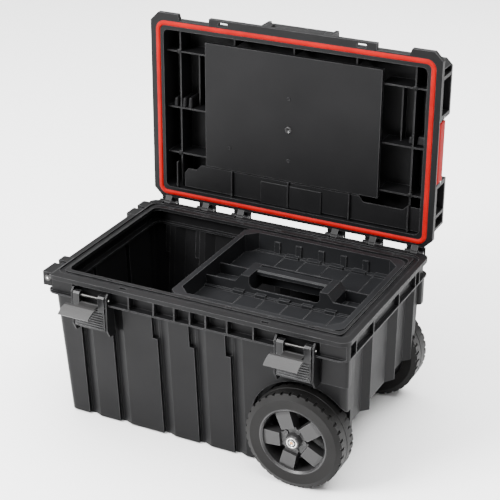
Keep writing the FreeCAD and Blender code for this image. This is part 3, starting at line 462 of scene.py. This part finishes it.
def rim_screws():
    """The bright screw in the rim's right end and the pin in the left bracket's bolt."""
    low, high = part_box("tow_bolt_front")
    bolt_head = ((low.x + high.x) / 2, low.y, (low.z + high.z) / 2)
    rim_corner = (0.2868, -0.1838, 0.2842)
    outline = [(-1.0, 2.2), (0.0, 2.2), (0.5, 2.0), (0.9, 1.6), (0.8, 1.0), (0.3, 0.8)]
    for name, spot, axis in (("right", rim_corner, (1, 0, 0)), ("left", bolt_head, (0, -1, 0))):
        lathe(f"rim_screw_{name}", outline, spot, axis, "tub", "steel", 24)


def latch_pin_ends():
    """The bright riveted ends of each latch's pin."""
    outline = [(-0.6, 1.6), (0.0, 1.9), (0.5, 1.7), (0.9, 1.0)]
    for side in ("left", "right"):
        low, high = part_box(f"latch_pin_{side}")
        middle = (low + high) / 2
        for end, x, way in (("a", low.x, -1), ("b", high.x, 1)):
            name = f"latch_pin_end_{side}_{end}"
            lathe(name, outline, (x, middle.y, middle.z), (way, 0, 0), "tub", "steel", 20)


def hinge_guards():
    """A short shroud behind each group of hinge knuckles, standing on the rim."""
    half_length = 18.6
    outline = [
        (190.5, 279.5), (204.6, 279.5), (204.6, 300.4),
        (202.6, 300.4), (202.6, 283.3), (190.5, 283.3),
    ]
    count = len(outline)
    faces = [tuple(range(count)), tuple(range(count, 2 * count))]
    for corner in range(count):
        ahead = (corner + 1) % count
        faces.append((corner, ahead, ahead + count, corner + count))
    for number, spot in enumerate(HINGE_SPOTS):
        for side, way in (("left", -1), ("right", 1)):
            verts = []
            for x in (way * spot - half_length, way * spot + half_length):
                verts += [(x * MM, y * MM, z * MM) for y, z in outline]
            name = f"hinge_guard_{number}_{side}"
            piece_from(name, verts, faces, "tub", "black_plastic", False, 0.5)


# ------------------------------------------------------------ light and camera
def area_light(name, spot, aim, size, power):
    """A white rectangular studio light at a spot, facing a point."""
    data = bpy.data.lights.new(name, "AREA")
    data.shape = "RECTANGLE"
    data.size, data.size_y = size
    data.energy = power
    light = bpy.data.objects.new(name, data)
    bpy.context.collection.objects.link(light)
    light.location = spot
    light.rotation_euler = (Vector(aim) - Vector(spot)).to_track_quat("-Z", "Y").to_euler()


def studio():
    """A pale floor, an even pale surround and three soft lights."""
    mesh = bpy.data.meshes.new("floor")
    half = 14.0
    corners = [(-half, -half, 0), (half, -half, 0), (half, half, 0), (-half, half, 0)]
    mesh.from_pydata(corners, [], [(0, 1, 2, 3)])
    floor = bpy.data.objects.new("floor", mesh)
    bpy.context.collection.objects.link(floor)
    shader = Shader("floor_paint")
    shader.link(
        shader.tint(shader.noise(0.8), (0.93, 0.93, 0.93), (0.95, 0.95, 0.95)),
        shader.bsdf.inputs["Base Color"],
    )
    shader.bsdf.inputs["Roughness"].default_value = 0.9
    mesh.materials.append(shader.material)
    world = bpy.data.worlds.new("surround")
    bpy.context.scene.world = world
    world.use_nodes = True
    background = world.node_tree.nodes["Background"]
    background.inputs["Color"].default_value = (1.0, 1.0, 1.0, 1)
    background.inputs["Strength"].default_value = 0.60
    centre = (0.0, 0.0, 0.3)
    area_light("key", (-1.8, -2.4, 2.3), centre, (1.6, 1.6), 380)
    area_light("top", (0.0, 0.4, 4.0), (0.0, 0.4, 0.0), (6.0, 6.0), 800)
    area_light("back", (0.8, 2.4, 2.4), centre, (2.0, 1.0), 60)


def camera():
    """The camera: right of the front, 25 degrees above the horizon."""
    azimuth, elevation, roll = (math.radians(angle) for angle in (26.5, 25.0, 0.2))
    spot = (1.0747, -2.1258, 1.4318)
    back = Vector((
        math.sin(azimuth) * math.cos(elevation),
        -math.cos(azimuth) * math.cos(elevation),
        math.sin(elevation),
    ))
    right = Vector((math.cos(azimuth), math.sin(azimuth), 0))
    up = back.cross(right)
    tilted = right * math.cos(roll) + up * math.sin(roll)
    upright = up * math.cos(roll) - right * math.sin(roll)
    data = bpy.data.cameras.new("camera")
    data.sensor_width = 36
    data.lens = 105.6
    data.shift_x = 0.0036
    data.shift_y = 0.0006
    made = bpy.data.objects.new("camera", data)
    bpy.context.collection.objects.link(made)
    turn = Matrix((tilted, upright, back)).transposed().to_4x4()
    made.matrix_world = Matrix.Translation(spot) @ turn
    bpy.context.scene.camera = made


# ------------------------------------------------------------ build
dress_cad()
seal_ring()
plate_marks()
lid_fittings()
hub_ends()
bolt_rings()
rim_screws()
latch_pin_ends()
hinge_guards()
studio()
camera()
